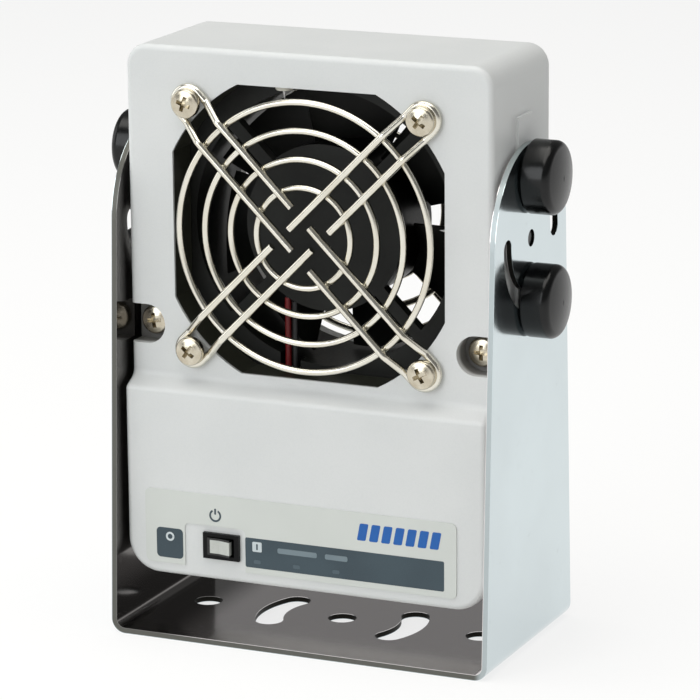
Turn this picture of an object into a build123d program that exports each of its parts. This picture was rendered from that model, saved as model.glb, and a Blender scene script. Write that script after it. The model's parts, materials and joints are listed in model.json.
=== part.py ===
from build123d import *
import math
import os

# A small fan-driven ionizing blower in a bent steel stand.
# X runs to the right seen from the front, the front faces -Y, and Z is up.
# The origin lies under the middle of the stand's base plate. Lengths are in millimetres.

# Clearances, how far a cutter runs past what it cuts, and how straight a line along an axis is
slide_gap = 0.05
fit_gap = 0.04
rest_gap = 0.2
overrun = 2.0
straight_share = 0.99

# Stand
sheet = 1.2
base_depth = 46.6
bend_radius = 3.0
arm_top_radius = 19.35
pivot_hole_radius = 1.75
tilt_orbit_radius = 12.6
base_hole_radius = 3.0
base_hole_spacing = 62.0
base_slot_orbit_radius = 15.3
base_slot_width = 5.9
base_slot_half_angle = 27.0
tilt_range = 90.0

# Casing
head_depth = 31.0
head_lift = 11.5
side_wall = 1.8
face_wall = 2.2
rear_wall = 2.8
top_corner_radius = 4.5
bottom_corner_radius = 7.0
edge_round = 1.2
step_reach = 3.7
step_height = 41.4
step_slope_drop = 2.0
step_cove_radius = 1.6
lip_depth = 2.0
lip_wall = 1.6
pad_width = 7.6
pad_height = 0.75
pad_reach = 24.9

# Fan opening and its collar
opening_inset = 0.2
opening_side_margin = 10.2
opening_top_margin = 6.9
opening_low_margin = 2.1
opening_corner_reach = 3.6
collar_wall = 1.2
guard_screw_inset = 4.2
guard_boss_radius = 2.7

# Fan
fan_size = 60.0
fan_depth = 20.0
fan_corner_radius = 3.0
fan_bore_inset = 1.4
fan_tube_wall = 1.3
fan_flange = 3.5
fan_hole_inset = 5.0
strut_width = 2.6
mount_disc_radius = 17.2
mount_disc_thickness = 2.5
bearing_tube_radius = 5.2
bearing_radius = 4.0
bearing_length = 4.0
shaft_radius = 1.5
shaft_length = 14.5
core_radius = 11.5
core_length = 6.0
core_ring_wall = 2.2
core_shoe = 1.7
core_arm_width = 4.0
coil_thickness = 1.2
coil_gap = 0.2
magnet_radius = 14.5
magnet_wall = 2.0
hub_radius = 16.5
hub_top_wall = 1.7
hub_gap = 0.8
hub_boss_radius = 3.0
blade_tip_gap = 0.7
blade_thickness = 1.1
blade_edge = 0.5
blade_camber = 1.6
blade_root_chord = 16.0
blade_tip_chord = 23.5
blade_sink = 0.8
blade_middle = 11.2
core_arms = 4
blade_count = 7
blade_turn = 19.0
root_stagger = 36.0
tip_stagger = 24.0
core_shoe_angle = 62.0

# Wire guards
guard_edge_gap = 1.1
guard_ring_step = 5.75
guard_ring_count = 4
guard_ring_wire = 0.7
guard_leg_wire = 0.8
guard_leg_gap = 6.2
guard_leg_lift = 3.2
guard_kink_reach = 1.0
guard_kink_run = 5.2
guard_kink_inset = 1.6
guard_kink_round = 1.0
guard_long_end = 0.4
guard_short_end = 5.8
guard_weld_gap = 0.02

# Screws
screw_radius = 1.5
screw_head_radius = 3.0
screw_head_height = 1.9
screw_head_round = 0.9
recess_width = 0.75
recess_length = 2.9
recess_depth = 1.0
guard_screw_length = 7.0
cover_screw_length = 14.0
small_screw_radius = 1.0
small_head_radius = 1.9
small_head_height = 1.2
small_screw_length = 4.5

# Side notches that hold the cover screws
notch_radius = 4.1
notch_depth = 4.7
notch_floor = 2.2
notch_rim = 1.5
cover_screw_inset = 3.7
cover_screw_height = 52.0
post_radius = 3.0
post_hole_depth = 18.0

# Knobs, studs, inserts and pivots
stud_radius = 2.0
stud_reach = 6.0
stud_bury = 4.0
knob_radius = 7.5
knob_length = 7.0
knob_base_chamfer = 0.6
knob_edge_round = 1.6
knob_dome_radius = 28.0
insert_radius = 2.8
insert_length = 6.0
insert_rim = 1.2
insert_recess = 1.0
pivot_pin_radius = 1.65
pivot_pin_recess = 0.4
pivot_pin_bury = 6.0
pivot_boss_rim = 1.5

# Emitters: one in the collar's right wall, one in its top wall left of the middle
emitter_plane_depth = 5.1
right_emitter_rise = 2.4
top_emitter_shift = -7.0
socket_radius = 1.8
socket_reach = 1.4
socket_edge_round = 0.3
socket_block_width = 5.0
socket_block_thickness = 2.16
needle_radius = 0.35
needle_reach = 1.8
needle_tip = 1.2
bus_wire_radius = 0.6
bus_set_back = 2.7
bus_gap = 0.6
bus_corner_radius = 5.0
high_voltage_wire_radius = 0.9
high_voltage_wire_inset = 3.0

# Control board and what it carries
board_side_gap = 6.2
board_height = 27.0
board_thickness = 1.6
board_lift = 4.3
board_gap = 3.8
board_post_radius = 2.4
board_post_inset = 3.2
led_radius = 1.0
led_inset = 0.3
led_height = 5.3
led_start = -10.2
led_pitch = 8.8
led_count = 3
connector_width = 7.5
connector_height = 6.0
connector_depth = 4.0
capacitor_radius = 3.0
capacitor_length = 5.4
capacitor_pitch = 7.4

# Switch and label
switch_x = -18.2
switch_height = 7.5
bezel_width = 8.1
bezel_height = 5.5
bezel_lip = 0.8
switch_body_width = 7.2
switch_body_height = 4.9
rocker_width = 5.3
rocker_height = 3.65
rocker_gap = 0.12
rocker_proud = 0.35
rocker_depth = 2.6
rocker_turn = 14.0
trunnion_radius = 0.45
trunnion_length = 0.35
contact_width = 0.6
contact_pitch = 2.4
contact_length = 3.6
label_side_margin = 5.3
label_height = 15.7
label_offset = -0.9
label_lift = 2.5
label_thickness = 0.25
label_corner_radius = 1.2
window_width = 13.7
window_height = 9.1
window_corner_radius = 1.0
window_offset = 1.55

# Power supply
module_width = 38.0
module_height = 30.0
module_depth = 15.5
module_lift = 5.3
module_side_gap = 3.2
module_round = 1.0
module_post_height = 3.0
module_post_radius = 2.6
module_ear = 6.0
module_ear_thickness = 2.0
jack_side_gap = 12.2
jack_height = 11.0
jack_body_radius = 5.0
jack_body_length = 10.0
jack_bush_radius = 4.0
jack_bush_proud = 2.4
jack_bore_radius = 2.8
jack_bore_depth = 9.0
jack_pin_radius = 1.05
jack_pin_recess = 1.0
jack_nut_width = 10.5
jack_nut_thickness = 1.8
wire_radius = 0.65
wire_pitch = 1.6
wire_bend_radius = 1.6
supply_lead_rise = 5.0

# Places that follow from the sizes
opening_size = fan_size - opening_inset * 2
head_width = opening_size + opening_side_margin * 2
head_low = sheet + head_lift
ledge_z = head_low + step_height
pivot_z = ledge_z + opening_low_margin + opening_size / 2
head_top = pivot_z + opening_size / 2 + opening_top_margin
head_height = head_top - head_low
guard_pitch = opening_size - guard_screw_inset * 2
opening_clip_radius = min(opening_size / 2 + opening_corner_reach,
                          guard_pitch / math.sqrt(2) - guard_boss_radius)
fan_bore_radius = fan_size / 2 - fan_bore_inset
fan_hole_pitch = fan_size - fan_hole_inset * 2
guard_outer_radius = min(fan_bore_radius, opening_size / 2) - guard_edge_gap
guard_kink_start = guard_outer_radius + guard_kink_reach
face_y = -head_depth / 2
step_y = face_y - step_reach
back_y = head_depth / 2
seam_y = back_y - rear_wall
step_inner_y = step_y + face_wall
side_x = head_width / 2
side_inner_x = side_x - side_wall
pad_x = side_x + pad_height
arm_inner_x = pad_x + slide_gap
arm_outer_x = arm_inner_x + sheet
fan_front_y = seam_y - fan_depth
collar_end_y = fan_front_y - rest_gap
cover_screw_x = side_x - cover_screw_inset
cover_screw_z = head_low + cover_screw_height
notch_y = face_y + notch_depth
notch_back_y = notch_y + notch_floor
emitter_y = face_y + emitter_plane_depth
bus_y = fan_front_y + bus_set_back
socket_block_x = max(opening_size / 2 + collar_wall, fan_size / 2) + fit_gap
socket_block_end = socket_block_x + socket_block_thickness
bus_half_size = fan_size / 2 + bus_gap + bus_wire_radius
board_front_y = step_inner_y + board_gap
board_back_y = board_front_y + board_thickness
board_low = head_low + board_lift
switch_z = head_low + switch_height
led_z = head_low + led_height
module_back_y = seam_y - module_post_height
module_front_y = module_back_y - module_depth
module_low = head_low + module_lift
module_high = module_low + module_height
jack_z = head_low + jack_height
module_offset = module_side_gap + module_ear + module_width / 2 - side_inner_x
high_voltage_wire_x = module_offset + module_width / 2 - high_voltage_wire_inset
jack_x = side_inner_x - jack_side_gap
board_width = (side_inner_x - board_side_gap) * 2
label_width = (side_x - label_side_margin) * 2
thread_radius = screw_radius + fit_gap
small_thread_radius = small_screw_radius + fit_gap

to_front = Rot(90, 0, 0)
to_rear = Rot(-90, 0, 0)
sides = (("left", -1), ("right", 1))
levels = (("lower", -1), ("upper", 1))
corner_signs = ((-1, -1), (1, -1), (1, 1), (-1, 1))
leg_turns = (45, 135, 225, 315)


def block(x_from, x_to, y_from, y_to, z_from, z_to):
    """A box between two limits on each axis."""
    centre = Pos((x_from + x_to) / 2, (y_from + y_to) / 2, (z_from + z_to) / 2)
    return centre * Box(abs(x_to - x_from), abs(y_to - y_from), abs(z_to - z_from))


def slab(outline, rear, front):
    """An outline drawn in X and Z, filled from its rear face to its front face."""
    return extrude(Plane.XZ.offset(-rear) * outline, rear - front)


def rod_x(radius, x_from, x_to, y, z):
    """A round bar along X."""
    return Pos((x_from + x_to) / 2, y, z) * Rot(0, 90, 0) * Cylinder(radius, abs(x_to - x_from))


def rod_y(radius, y_from, y_to, x, z):
    """A round bar along Y."""
    return Pos(x, (y_from + y_to) / 2, z) * to_front * Cylinder(radius, abs(y_to - y_from))


def disc(radius, low, high):
    """A round disc on the local Z axis."""
    return Pos(0, 0, (low + high) / 2) * Cylinder(radius, high - low)


def wire_tube(radius, points, bend):
    """Insulated wire along straight runs with rounded bends."""
    path = FilletPolyline(*points, radius=bend) if len(points) > 2 else Line(*points)
    return sweep(Plane(origin=path @ 0, z_dir=path % 0) * Circle(radius), path=path)


def group(pieces):
    """Alike pieces kept as separate solids in one node."""
    return Compound(children=[piece.solid() for piece in pieces])


def screw(radius, length, head_radius, head_height, head_round):
    """A pan-head screw with a cross recess: its shank points down from the head's underside."""
    head = disc(head_radius, 0, head_height)
    head = fillet(head.edges().group_by(Axis.Z)[-1], head_round)
    share = head_radius / screw_head_radius
    for turn in (0, 90):
        slot = Box(recess_length * share, recess_width * share, recess_depth * share * 2)
        head -= Pos(0, 0, head_height) * Rot(0, 0, turn) * slot
    return head + disc(radius, -length, 0)


def pan_screw(length):
    return screw(screw_radius, length, screw_head_radius, screw_head_height, screw_head_round)


def small_screw():
    head_round = small_head_height / 2
    return screw(small_screw_radius, small_screw_length, small_head_radius, small_head_height, head_round)


# Stand


def arm_outline():
    """Both arms seen from the side: a round top that widens to the depth of the base."""
    reach = base_depth / 2
    drop = pivot_z - bend_radius
    distance = math.hypot(reach, drop)
    tangent = math.atan2(reach, drop) + math.acos(arm_top_radius / distance)
    touch_y = arm_top_radius * math.sin(tangent)
    touch_z = pivot_z - arm_top_radius * math.cos(tangent)
    flank = make_face(Polyline(
        (-reach, -overrun), (reach, -overrun), (reach, bend_radius), (touch_y, touch_z),
        (-touch_y, touch_z), (-reach, bend_radius), close=True))
    return flank + Pos(0, pivot_z) * Circle(arm_top_radius)


def arc_slot(orbit, width, start, span):
    """A curved slot round the sketch's origin, with round ends."""
    path = CenterArc((0, 0), orbit, start, span)
    slot = make_face(
        CenterArc((0, 0), orbit + width / 2, start, span)
        + CenterArc((0, 0), orbit - width / 2, start, span)
        + Line(Vector(orbit + width / 2, 0).rotate(Axis.Z, start),
               Vector(orbit - width / 2, 0).rotate(Axis.Z, start))
        + Line(Vector(orbit + width / 2, 0).rotate(Axis.Z, start + span),
               Vector(orbit - width / 2, 0).rotate(Axis.Z, start + span)))
    for end in (path @ 0, path @ 1):
        slot += Pos(end.X, end.Y) * Circle(width / 2)
    return slot


def mounting_bracket():
    """One bent strip of sheet steel: base plate, two arms, tilt slots and base holes."""
    tall = pivot_z + arm_top_radius + overrun
    outer = Pos(0, tall / 2) * Rectangle(arm_outer_x * 2, tall)
    outer = fillet(outer.vertices().group_by(Axis.Y)[0], bend_radius)
    inner = Pos(0, sheet + tall / 2) * Rectangle(arm_inner_x * 2, tall)
    inner = fillet(inner.vertices().group_by(Axis.Y)[0], bend_radius - sheet)
    strip = slab(outer - inner, base_depth / 2, -base_depth / 2)
    strip &= extrude(Plane.YZ * arm_outline(), arm_outer_x + overrun, both=True)

    slot_width = (stud_radius + fit_gap * 2) * 2
    arm_cuts = Pos(0, pivot_z) * (
        arc_slot(tilt_orbit_radius, slot_width, 0, tilt_range)
        + arc_slot(tilt_orbit_radius, slot_width, 180, tilt_range)
        + Circle(pivot_hole_radius))
    strip -= extrude(Plane.YZ * arm_cuts, arm_outer_x + overrun, both=True)

    base_cuts = Circle(base_hole_radius)
    for side in (-1, 1):
        base_cuts += Pos(side * base_hole_spacing / 2, 0) * Circle(base_hole_radius)
    for middle in (0, 180):
        start = middle - base_slot_half_angle
        base_cuts += arc_slot(base_slot_orbit_radius, base_slot_width, start, base_slot_half_angle * 2)
    return strip - extrude(base_cuts, sheet + overrun, both=True)


# Casing


def head_outline(inset):
    """The casing seen from the front, pulled in by a wall."""
    outline = Pos(0, head_low + head_height / 2) * Rectangle(
        head_width - inset * 2, head_height - inset * 2)
    outline = fillet(outline.vertices().group_by(Axis.Y)[-1], top_corner_radius - inset)
    return fillet(outline.vertices().group_by(Axis.Y)[0], bottom_corner_radius - inset)


def side_profile(wall, rear, low, high):
    """The casing seen from the side: a flat face above the step, a cove and the step's slope."""
    corner_z = ledge_z - wall
    profile = make_face(Polyline(
        (rear, low), (step_y + wall, low), (step_y + wall, corner_z - step_slope_drop),
        (face_y + wall, corner_z), (face_y + wall, high), (rear, high), close=True))
    cove = profile.vertices().sort_by_distance((face_y + wall, corner_z, 0))[0]
    return fillet(cove, step_cove_radius)


def opening_outline(grow):
    """The square fan opening with its corners clipped by a circle."""
    square = Rectangle(opening_size + grow * 2, opening_size + grow * 2)
    return Pos(0, pivot_z) * (square & Circle(opening_clip_radius + grow))


def is_front_edge(edge):
    """True on the outer edges of the two front faces and on the ends of the cove."""
    middle = edge @ 0.5
    along_x = abs((edge % 0.5).X) > straight_share
    if middle.Y > face_y + fit_gap:
        return False
    if not along_x:
        return True
    on_cove = ledge_z - step_slope_drop + fit_gap < middle.Z < ledge_z + step_cove_radius * 2
    return not on_cove


def front_housing():
    """The moulded front shell: face, side walls, collar, bosses, screw notches and lower step."""
    profile = side_profile(0, seam_y, head_low - overrun, head_top + overrun)
    shell = slab(head_outline(0), seam_y, step_y - overrun)
    shell &= extrude(Plane.YZ * profile, side_x + overrun, both=True)
    shell = fillet(shell.edges().filter_by(is_front_edge), edge_round)

    hollow_profile = side_profile(face_wall, seam_y + overrun, head_low - overrun, head_top + overrun)
    hollow = slab(head_outline(side_wall), seam_y + overrun, step_y - overrun)
    hollow &= extrude(Plane.YZ * hollow_profile, side_x + overrun, both=True)
    shell -= hollow

    shell += slab(opening_outline(collar_wall), collar_end_y, face_y + face_wall / 2)
    shell -= slab(opening_outline(0), collar_end_y + overrun, face_y - overrun)

    for x_sign, z_sign in corner_signs:
        x = x_sign * guard_pitch / 2
        z = pivot_z + z_sign * guard_pitch / 2
        shell += rod_y(guard_boss_radius, face_y + face_wall / 2, fan_front_y, x, z)
        shell -= rod_y(thread_radius, face_y - overrun, fan_front_y + overrun, x, z)

    inner_outline = head_outline(side_wall / 2)
    for _, side in sides:
        shell += screw_seat(side) & slab(inner_outline, notch_back_y, face_y + face_wall / 2)
        shell -= screw_notch(side)
        pad = block(side * side_inner_x, side * pad_x, -pad_width / 2, pad_width / 2,
                    pivot_z - pad_reach, pivot_z + pad_reach)
        shell += pad
        outer_x = side * (pad_x + overrun)
        for _, level in levels:
            z = pivot_z + level * tilt_orbit_radius
            inner_x = pad_x - insert_recess - insert_length
            shell += rod_x(insert_radius + insert_rim, side * inner_x, side * side_inner_x, 0, z)
            shell -= rod_x(insert_radius + fit_gap, side * (inner_x - overrun), outer_x, 0, z)
        boss_x = side_x - pivot_pin_bury
        boss_radius = pivot_pin_radius + pivot_boss_rim
        shell += rod_x(boss_radius, side * boss_x, side * side_inner_x, 0, pivot_z)
        shell -= rod_x(pivot_pin_radius + fit_gap, side * (boss_x + side_wall), outer_x, 0, pivot_z)

    for x_sign, z_sign in corner_signs:
        x = x_sign * (board_width / 2 - board_post_inset)
        z = board_low + board_height / 2 + z_sign * (board_height / 2 - board_post_inset)
        shell += rod_y(board_post_radius, step_inner_y - face_wall / 2, board_front_y, x, z)
        shell -= rod_y(small_thread_radius, board_front_y - board_gap, board_front_y + overrun, x, z)

    for place in emitter_places():
        hole_end = opening_size / 2 + collar_wall + overrun
        shell -= place * rod_x(socket_radius + fit_gap, 0, hole_end, 0, 0)

    body_x = switch_body_width / 2 + fit_gap
    body_z = switch_body_height / 2 + fit_gap
    shell -= block(switch_x - body_x, switch_x + body_x, step_y - overrun, step_inner_y + overrun,
                   switch_z - body_z, switch_z + body_z)
    for number in range(led_count):
        x = led_start + number * led_pitch
        shell -= rod_y(led_radius + fit_gap, step_y - overrun, step_inner_y + overrun, x, led_z)
    return shell


def screw_seat(side):
    """The block inside the shell that carries one cover screw's notch."""
    half = notch_radius + notch_rim
    inner_x = cover_screw_x - half
    return block(side * inner_x, side * side_x, face_y, notch_back_y,
                 cover_screw_z - half, cover_screw_z + half)


def screw_notch(side):
    """A round-ended notch, open to the side, with a hole through its floor."""
    x = side * cover_screw_x
    notch = rod_y(notch_radius, face_y - overrun, notch_y, x, cover_screw_z)
    notch += block(x, side * (side_x + overrun), face_y - overrun, notch_y,
                   cover_screw_z - notch_radius, cover_screw_z + notch_radius)
    return notch + rod_y(screw_radius + rest_gap, face_y, notch_back_y + overrun, x, cover_screw_z)


def rear_cover():
    """The back plate with its lip, intake opening, screw posts and jack hole."""
    plate = slab(head_outline(0), back_y, seam_y)
    plate = fillet(plate.edges().group_by(Axis.Y)[-1], edge_round)
    lip_inset = side_wall + fit_gap
    lip = slab(head_outline(lip_inset), seam_y + rear_wall / 2, seam_y - lip_depth)
    lip -= slab(head_outline(lip_inset + lip_wall), seam_y + rear_wall, seam_y - lip_depth - overrun)
    cover = plate + lip
    cover -= rod_y(fan_bore_radius, seam_y - overrun, back_y + overrun, 0, pivot_z)
    inside = slab(head_outline(lip_inset), seam_y + rear_wall / 2, notch_back_y)
    for _, side in sides:
        x = side * cover_screw_x
        cover += rod_y(post_radius, notch_back_y, seam_y + rear_wall / 2, x, cover_screw_z) & inside
        hole_end = notch_back_y + post_hole_depth
        cover -= rod_y(thread_radius, notch_back_y - overrun, hole_end, x, cover_screw_z)
        ear_x = module_offset + side * (module_width + module_ear) / 2
        ear_z = module_low + module_height / 2
        cover += rod_y(module_post_radius, module_back_y, seam_y + rear_wall / 2, ear_x, ear_z)
        cover -= rod_y(small_thread_radius, module_back_y - overrun, seam_y, ear_x, ear_z)
    for x_sign, z_sign in corner_signs:
        x = x_sign * fan_hole_pitch / 2
        z = pivot_z + z_sign * fan_hole_pitch / 2
        cover -= rod_y(screw_radius + rest_gap, seam_y - overrun, back_y + overrun, x, z)
    return cover - rod_y(jack_bush_radius + fit_gap, seam_y - overrun, back_y + overrun, jack_x, jack_z)


# Wire guards


def guard_leg(screw_orbit):
    """One bent hairpin: its two wires run out along local X, kink down and loop round the screw."""
    gap = guard_leg_gap / 2
    low = guard_leg_wire
    kink_end = min(guard_kink_start + guard_kink_run, screw_orbit - guard_kink_inset)
    out = FilletPolyline(
        (-guard_long_end, gap, guard_leg_lift), (guard_kink_start, gap, guard_leg_lift),
        (kink_end, gap, low), (screw_orbit, gap, low), radius=guard_kink_round)
    loop = ThreePointArc((screw_orbit, gap, low), (screw_orbit + gap, 0, low), (screw_orbit, -gap, low))
    home = FilletPolyline(
        (screw_orbit, -gap, low), (kink_end, -gap, low),
        (guard_kink_start, -gap, guard_leg_lift), (guard_short_end, -gap, guard_leg_lift),
        radius=guard_kink_round)
    path = out + loop + home
    section = Plane(origin=(-guard_long_end, gap, guard_leg_lift), z_dir=(1, 0, 0)) * Circle(guard_leg_wire)
    return sweep(section, path=path)


def wire_guard(place, pitch):
    """Wire rings welded under four hairpin legs: each wire is a solid that touches the next."""
    ring_lift = guard_leg_lift - guard_leg_wire - guard_ring_wire - guard_weld_gap
    wires = []
    for number in range(guard_ring_count):
        ring_radius = guard_outer_radius - number * guard_ring_step
        wires.append(place * Pos(0, 0, ring_lift) * Torus(ring_radius, guard_ring_wire))
    leg = guard_leg(pitch * math.sqrt(2) / 2)
    for turn in leg_turns:
        wires.append(place * Rot(0, 0, turn) * leg)
    return group(wires)


def guard_screws(place, pitch):
    """Four screws whose heads clamp the loops of a guard."""
    head_lift = guard_leg_wire * 2
    screws = []
    for x_sign, y_sign in corner_signs:
        spot = Pos(x_sign * pitch / 2, y_sign * pitch / 2, head_lift)
        screws.append(place * spot * pan_screw(guard_screw_length))
    return group(screws)


# Fan: built on a local Z axis that runs from its front face to its rear face


def fan_frame():
    """The square fan frame: tube, two flanges, struts, motor mount and bearing tube."""
    square = fillet(Rectangle(fan_size, fan_size).vertices(), fan_corner_radius)
    frame = disc(fan_bore_radius + fan_tube_wall, 0, fan_depth)
    frame += extrude(square, fan_flange)
    frame += Pos(0, 0, fan_depth - fan_flange) * extrude(square, fan_flange)
    frame -= disc(fan_bore_radius, -overrun, fan_depth + overrun)
    for x_sign, y_sign in corner_signs:
        hole = disc(thread_radius, -overrun, fan_depth + overrun)
        frame -= Pos(x_sign * fan_hole_pitch / 2, y_sign * fan_hole_pitch / 2) * hole
    strut_end = fan_bore_radius + fan_tube_wall / 2
    strut = block(0, strut_end, -strut_width / 2, strut_width / 2, 0, mount_disc_thickness)
    for turn in leg_turns:
        frame += Rot(0, 0, turn) * strut
    frame += disc(mount_disc_radius, 0, mount_disc_thickness)
    frame += disc(bearing_tube_radius, 0, mount_disc_thickness + bearing_length * 2 + hub_gap)
    bore_start = mount_disc_thickness / 2
    frame -= disc(bearing_radius + fit_gap, bore_start, fan_depth)
    exit_x = wire_exit_x() + wire_pitch / 2
    exit_width = wire_pitch * 2 + wire_radius * 2
    exit_y = fan_size / 2
    notch = block(exit_x - exit_width / 2, exit_x + exit_width / 2, fan_bore_radius / 2, exit_y + overrun,
                  -overrun, mount_disc_thickness)
    notch -= disc(mount_disc_radius + fit_gap, -overrun * 2, overrun * 2)
    return frame - notch


def wire_exit_x():
    """Where the first lead leaves the motor mount."""
    return -mount_disc_radius / 2


def motor_core():
    """The laminated core: a ring with arms that end in wide shoes."""
    ring_outer = bearing_tube_radius + core_ring_wall
    section = Circle(ring_outer)
    shoe = Circle(core_radius) - Circle(core_radius - core_shoe)
    half = core_shoe_angle / 2
    far = core_radius * 2
    wedge = make_face(Polyline(
        (0, 0), (far * math.cos(math.radians(half)), -far * math.sin(math.radians(half))),
        (far, 0), (far * math.cos(math.radians(half)), far * math.sin(math.radians(half))), close=True))
    for number in range(core_arms):
        turn = Rot(0, 0, number * 360 / core_arms)
        arm = Pos(core_radius / 2, 0) * Rectangle(core_radius - core_shoe, core_arm_width)
        section += turn * (arm + (shoe & wedge))
    section -= Circle(bearing_tube_radius + fit_gap)
    return Pos(0, 0, core_start()) * extrude(section, core_length)


def core_start():
    """The core sits in the middle of the bearing tube's length."""
    return mount_disc_thickness + bearing_length - core_length / 2 + hub_gap


def motor_coils():
    """Four copper coils, one round each arm of the core."""
    inner_r = bearing_tube_radius + core_ring_wall + coil_gap
    half_width = core_arm_width / 2 + coil_thickness
    outer_r = math.sqrt((core_radius - core_shoe) ** 2 - half_width ** 2) - coil_gap
    middle = core_start() + core_length / 2
    long = outer_r - inner_r
    coils = []
    for number in range(core_arms):
        coil = Box(long, half_width * 2, core_length + coil_thickness * 2)
        coil -= Box(long + overrun, core_arm_width + fit_gap * 2, core_length + fit_gap * 2)
        place = Rot(0, 0, number * 360 / core_arms) * Pos(inner_r + long / 2, 0, middle)
        coils.append(place * coil)
    return coils


def blade():
    """One twisted blade, lofted from its root in the hub to its tip."""
    sections = []
    tip_radius = fan_bore_radius - blade_tip_gap
    stations = (
        (hub_radius - blade_sink, blade_root_chord, root_stagger),
        (tip_radius + blade_sink, blade_tip_chord, tip_stagger))
    for radius, chord, stagger in stations:
        plane = Plane(origin=(radius, 0, blade_middle), x_dir=(0, 1, 0), z_dir=(1, 0, 0))
        half = chord / 2
        edge = blade_edge / 2
        crown = blade_camber + blade_thickness / 2
        belly = blade_camber - blade_thickness / 2
        outline = make_face(
            ThreePointArc((-half, edge), (0, crown), (half, edge))
            + Line((half, edge), (half, -edge))
            + ThreePointArc((half, -edge), (0, belly), (-half, -edge))
            + Line((-half, -edge), (-half, edge)))
        sections.append(plane * Rot(0, 0, stagger) * outline)
    return loft(sections) & disc(tip_radius, 0, fan_depth)


def impeller():
    """The hub cup with its blades and the boss that holds the shaft."""
    cup_start = mount_disc_thickness + hub_gap
    cup_end = shaft_end() + hub_top_wall
    cup = disc(hub_radius, cup_start, cup_end)
    cup -= disc(magnet_radius + fit_gap, cup_start - overrun, shaft_end())
    cup = fillet(cup.edges().group_by(Axis.Z)[-1], hub_top_wall / 2)
    boss_start = mount_disc_thickness + bearing_length * 2 + hub_gap * 2
    cup += disc(hub_boss_radius, boss_start, cup_end - hub_top_wall / 2)
    cup -= disc(shaft_radius + fit_gap, 0, shaft_end())
    outside_hub = blade() - disc(hub_radius - fit_gap, 0, fan_depth)
    for number in range(blade_count):
        cup += Rot(0, 0, blade_turn + number * 360 / blade_count) * outside_hub
    return cup


def shaft_end():
    """The shaft starts in the motor mount and ends in the hub."""
    return mount_disc_thickness / 2 + slide_gap + shaft_length


def bearings():
    """Two small ball bearings, each drawn as one ring."""
    rings = []
    bore = disc(shaft_radius + slide_gap, 0, fan_depth)
    for number in range(2):
        start = mount_disc_thickness + number * bearing_length
        rings.append(disc(bearing_radius, start, start + bearing_length) - bore)
    return rings


def fan_pieces():
    """Everything in the fan, moved to its place behind the collar."""
    place = Pos(0, fan_front_y, pivot_z) * to_rear
    shaft_start = mount_disc_thickness / 2 + slide_gap
    magnet_start = core_start() - coil_thickness
    magnet = disc(magnet_radius, magnet_start, shaft_end()) - disc(magnet_radius - magnet_wall, 0, fan_depth)
    return {
        "fan_frame": place * fan_frame(),
        "motor_core": place * motor_core(),
        "motor_coils": group([place * coil for coil in motor_coils()]),
        "motor_bearings": group([place * ring for ring in bearings()]),
        "impeller": place * impeller(),
        "motor_shaft": place * disc(shaft_radius, shaft_start, shaft_end()),
        "rotor_magnet": place * magnet,
    }


# Knobs and what they screw into


def knob():
    """A smooth round knob with a slightly domed end, standing on the local XY plane."""
    dome_drop = knob_dome_radius - math.sqrt(knob_dome_radius ** 2 - knob_radius ** 2)
    rim_z = knob_length - dome_drop
    profile = make_face(
        Polyline((0, knob_length), (0, 0), (knob_radius - knob_base_chamfer, 0),
                 (knob_radius, knob_base_chamfer), (knob_radius, rim_z))
        + RadiusArc((knob_radius, rim_z), (0, knob_length), -knob_dome_radius))
    rim = profile.vertices().sort_by_distance((knob_radius, rim_z, 0))[0]
    body = revolve(Plane.XZ * fillet(rim, knob_edge_round), Axis.Z)
    return body - disc(stud_radius + fit_gap, -overrun, stud_bury)


def knob_pieces():
    """Four clamping knobs, each with its own stud."""
    pieces = {}
    base_x = arm_outer_x + slide_gap
    for side_name, side in sides:
        outward = Rot(0, 90 * side, 0)
        for level_name, level in levels:
            z = pivot_z + level * tilt_orbit_radius
            pieces[f"knob_{side_name}_{level_name}"] = Pos(side * base_x, 0, z) * outward * knob()
            stud = rod_x(stud_radius, side * (side_x - stud_reach), side * (base_x + stud_bury), 0, z)
            pieces[f"stud_{side_name}_{level_name}"] = stud
    return pieces


def knob_inserts():
    """Four brass inserts in the casing's side bosses."""
    inserts = []
    start = pad_x - insert_recess - insert_length
    bore_radius = stud_radius + slide_gap
    for _, side in sides:
        for _, level in levels:
            z = pivot_z + level * tilt_orbit_radius
            insert = rod_x(insert_radius, side * start, side * (start + insert_length), 0, z)
            bore = rod_x(bore_radius, side * (start - overrun), side * (pad_x + overrun), 0, z)
            inserts.append(insert - bore)
    return group(inserts)


def pivot_pins():
    """Two pins on the tilt axis that turn in the arms' centre holes."""
    pins = []
    for _, side in sides:
        inner_x = side_x - pivot_pin_bury + side_wall
        outer_x = arm_outer_x - pivot_pin_recess
        pins.append(rod_x(pivot_pin_radius, side * inner_x, side * outer_x, 0, pivot_z))
    return group(pins)


# Emitters


def emitter_places():
    """Two places on the collar: local X points out of the airway, local Y to the rear."""
    right_place = Pos(0, emitter_y, pivot_z + right_emitter_rise)
    top_place = Pos(top_emitter_shift, emitter_y, pivot_z) * Rot(0, -90, 0)
    return [right_place, top_place]


def emitter_sockets():
    """Insulating sockets through the collar's walls, each with a block behind the wall."""
    half = socket_block_width / 2
    foot_end = bus_y - bus_wire_radius - emitter_y
    sockets = []
    for place in emitter_places():
        barrel = rod_x(socket_radius, opening_size / 2 - socket_reach, socket_block_x + fit_gap, 0, 0)
        barrel = fillet(barrel.edges().group_by(Axis.X)[0], socket_edge_round)
        foot = block(socket_block_x, socket_block_end, -half, foot_end, -half, half)
        bore = rod_x(needle_radius + fit_gap, 0, opening_size / 2, 0, 0)
        sockets.append(place * (barrel + foot - bore))
    return group(sockets)


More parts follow.
